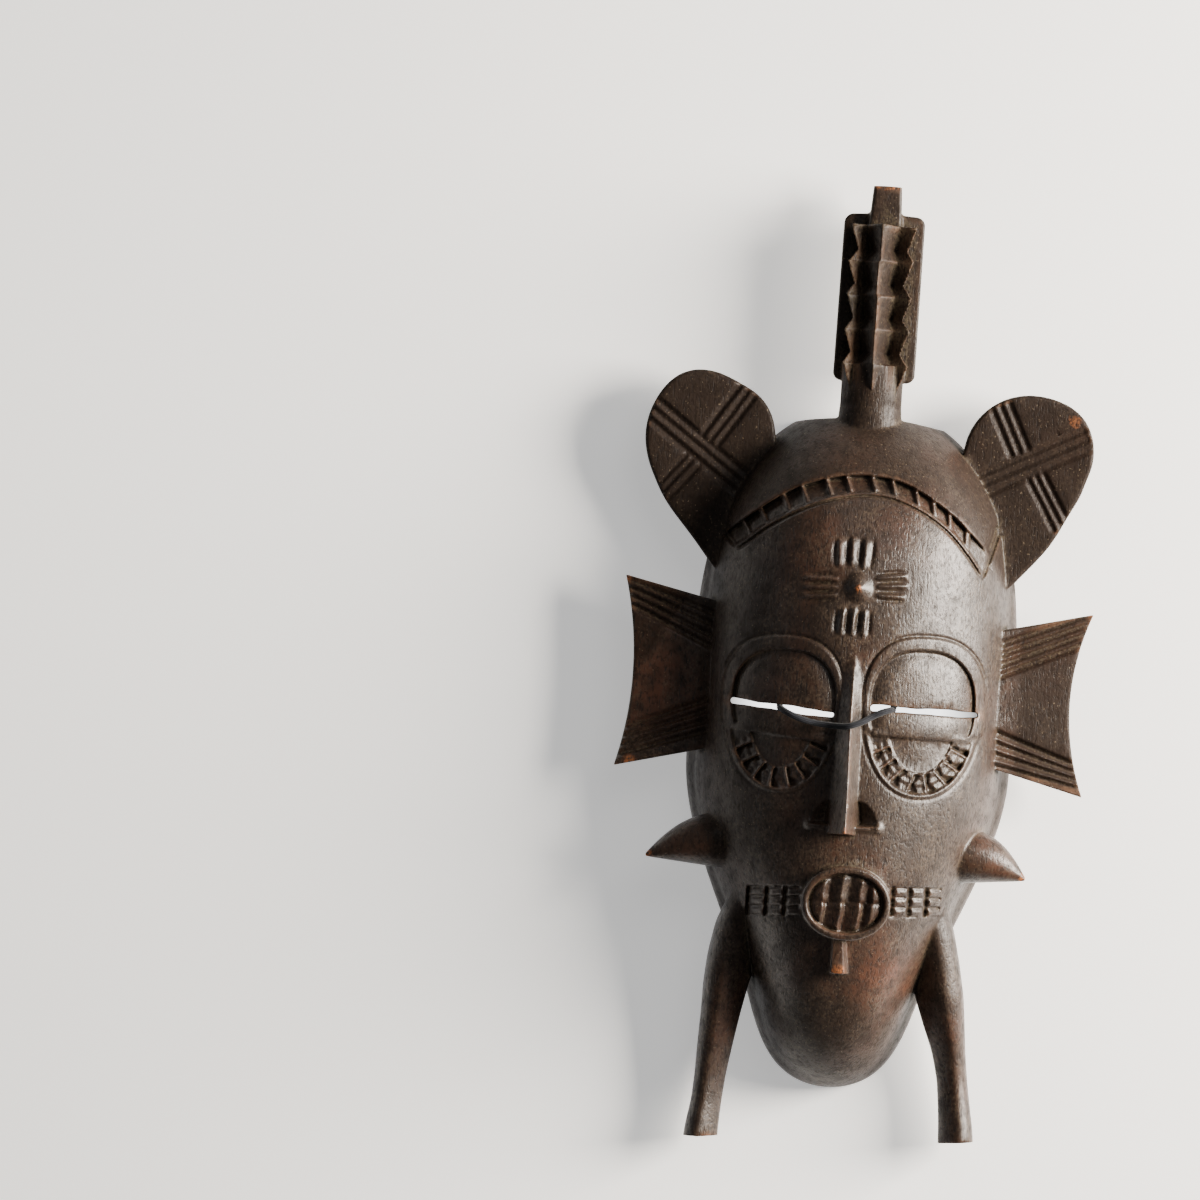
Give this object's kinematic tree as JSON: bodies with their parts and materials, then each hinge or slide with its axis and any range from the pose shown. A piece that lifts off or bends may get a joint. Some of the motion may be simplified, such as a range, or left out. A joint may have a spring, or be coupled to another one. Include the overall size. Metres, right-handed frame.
{
  "type": "face mask",
  "caption": "Oval wooden face mask with a thorned crest, round ears, side wings, cheek spikes, legs, slit eyes, a long nose and a cord threaded through the eyes.",
  "frame": {"origin": "centre of the mask's outline in X and Y, on the surface that the rim of its hollow back lies on", "axes": "+X to the right as the face is looked at, +Y from the chin to the crest, +Z out of the face"},
  "size_m": [0.1718, 0.3508, 0.0765],
  "materials": {
    "wood": "dark brown patina, satin, worn bare on edges and dusty in the grooves",
    "cord": "blue-black braided cotton"
  },
  "bodies": {
    "root": {"mask": "wood", "hanging_cord": "cord", "cord_knot": "cord"}
  },
  "joints": []
}
